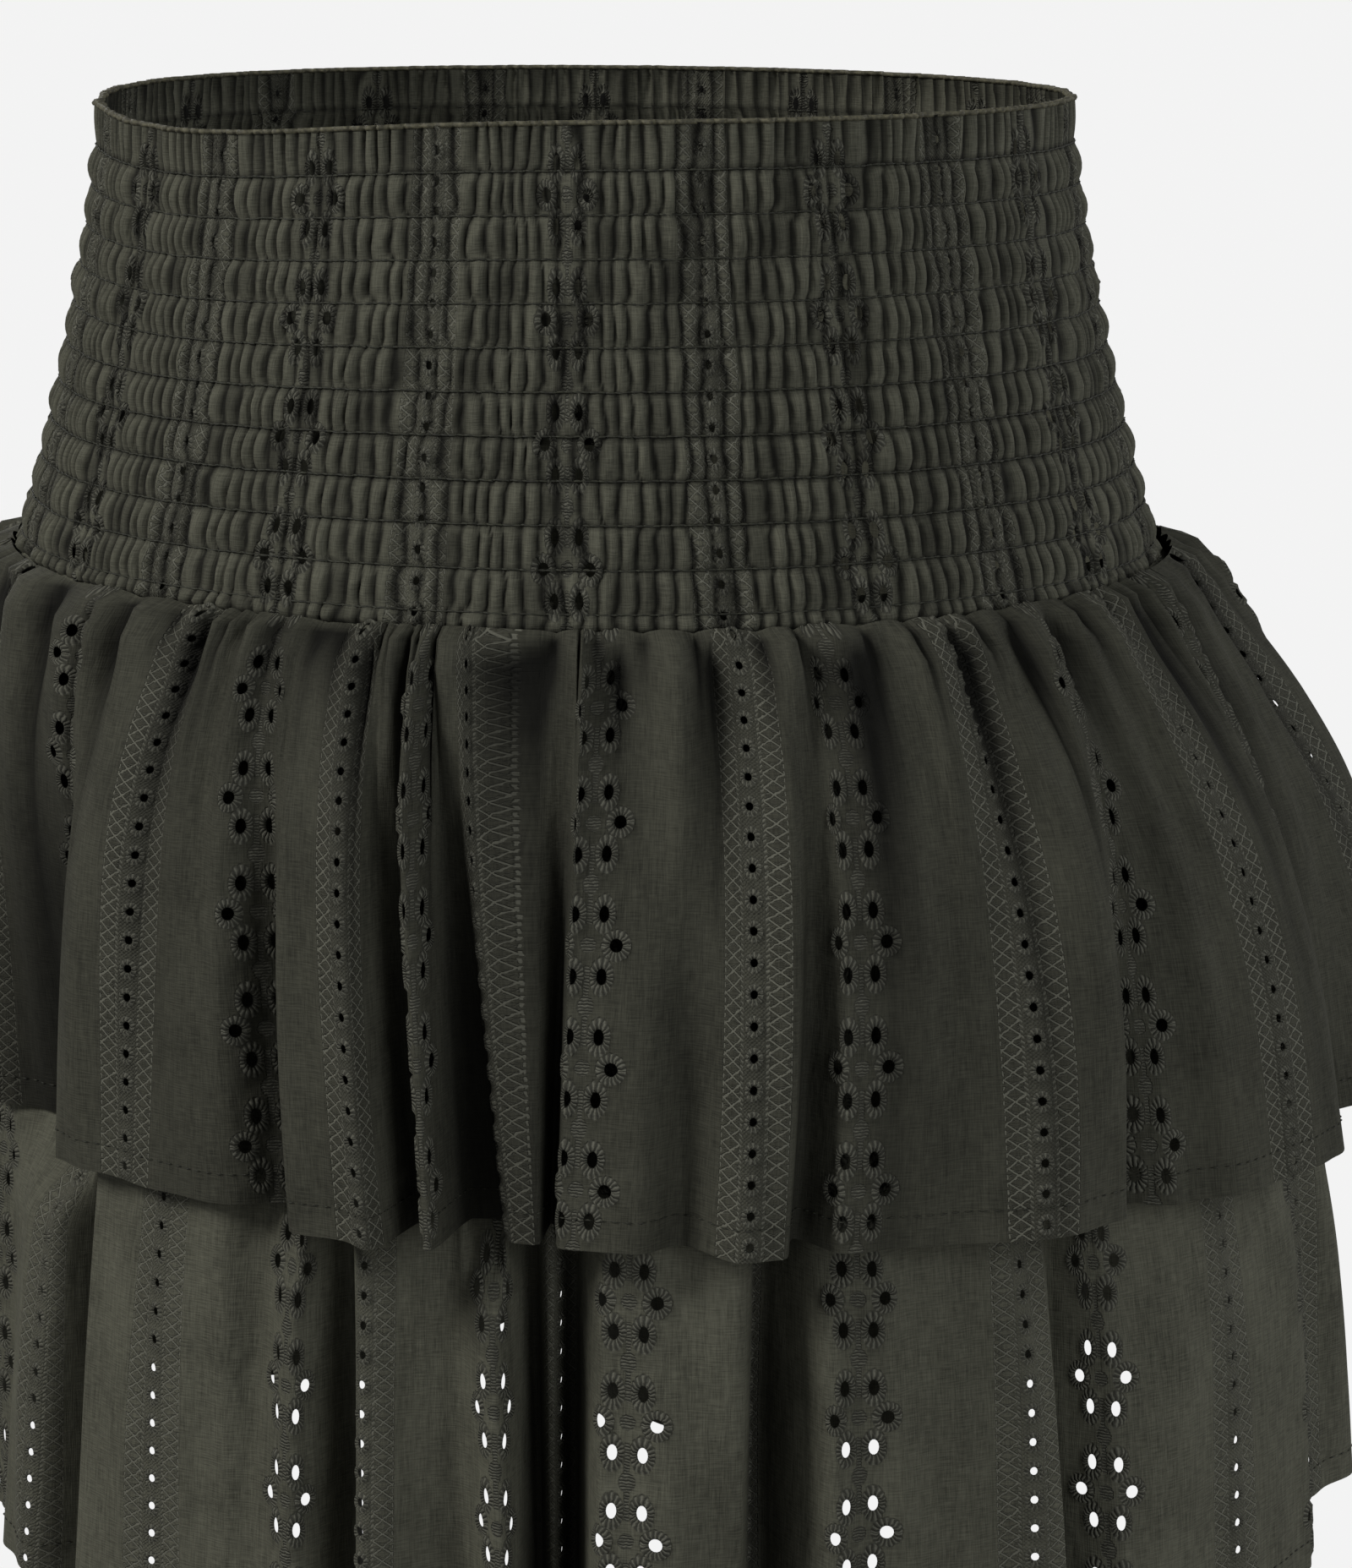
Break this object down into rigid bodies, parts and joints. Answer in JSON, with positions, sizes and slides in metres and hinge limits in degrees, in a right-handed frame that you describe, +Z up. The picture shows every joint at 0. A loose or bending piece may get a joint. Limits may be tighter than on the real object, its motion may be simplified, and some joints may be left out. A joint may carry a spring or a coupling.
{
  "type": "skort",
  "caption": "Worn-form skort in dark embroidered eyelet cotton: deep shirred yoke, two gathered ruffle tiers and plain inner shorts.",
  "frame": {"origin": "the middle of the waist rim, where a wearer's waist holds the garment", "axes": "+Z up out of the waist, -Y towards the front, +X towards the viewer's right"},
  "size_m": [0.3779, 0.3403, 0.348],
  "materials": {
    "embroidered_cotton": "dark olive-charcoal cotton voile with embroidered eyelet stripes, matt",
    "plain_cotton": "plain dark olive-charcoal cotton, matt"
  },
  "bodies": {
    "root": {"band_front": "embroidered_cotton", "band_back": "embroidered_cotton", "upper_tier_front": "embroidered_cotton", "upper_tier_back": "embroidered_cotton", "lower_tier_front": "embroidered_cotton", "lower_tier_back": "embroidered_cotton", "shorts_left": "plain_cotton", "shorts_right": "plain_cotton"}
  },
  "joints": []
}
